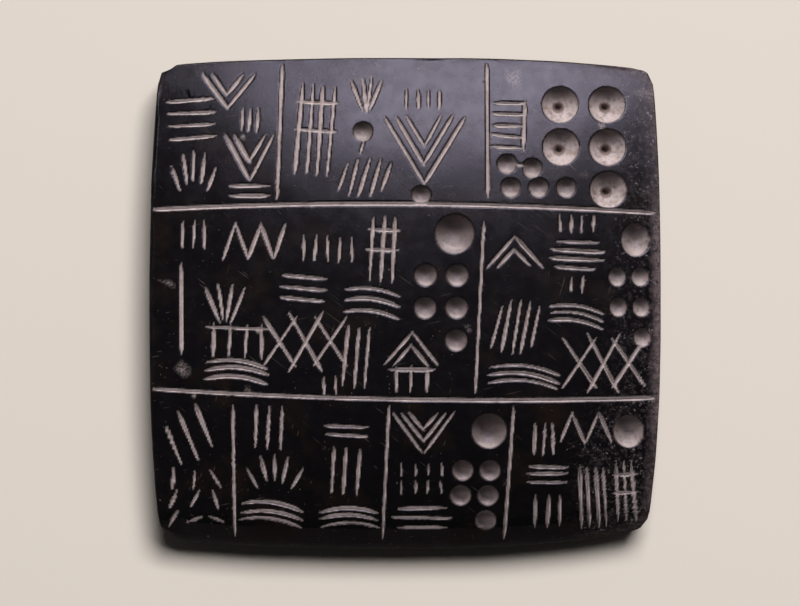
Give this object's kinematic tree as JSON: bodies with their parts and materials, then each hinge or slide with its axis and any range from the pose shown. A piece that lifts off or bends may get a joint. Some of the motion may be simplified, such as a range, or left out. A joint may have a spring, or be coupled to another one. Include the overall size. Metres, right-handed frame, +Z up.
{
  "type": "inscribed stone tablet",
  "caption": "Small pillow-shaped tablet of black polished stone, ruled into registers, with cut strokes and drilled number marks.",
  "frame": {"origin": "under the middle of the tablet, on the flat of its back that it rests on", "axes": "+Z up out of the inscribed face, +Y towards the top edge of the inscription, +X to the reader's right"},
  "size_m": [0.1, 0.0964, 0.024],
  "materials": {
    "black_stone": "polished, with pale crushed stone in the cuts"
  },
  "bodies": {
    "root": {"tablet": "black_stone"}
  },
  "joints": []
}
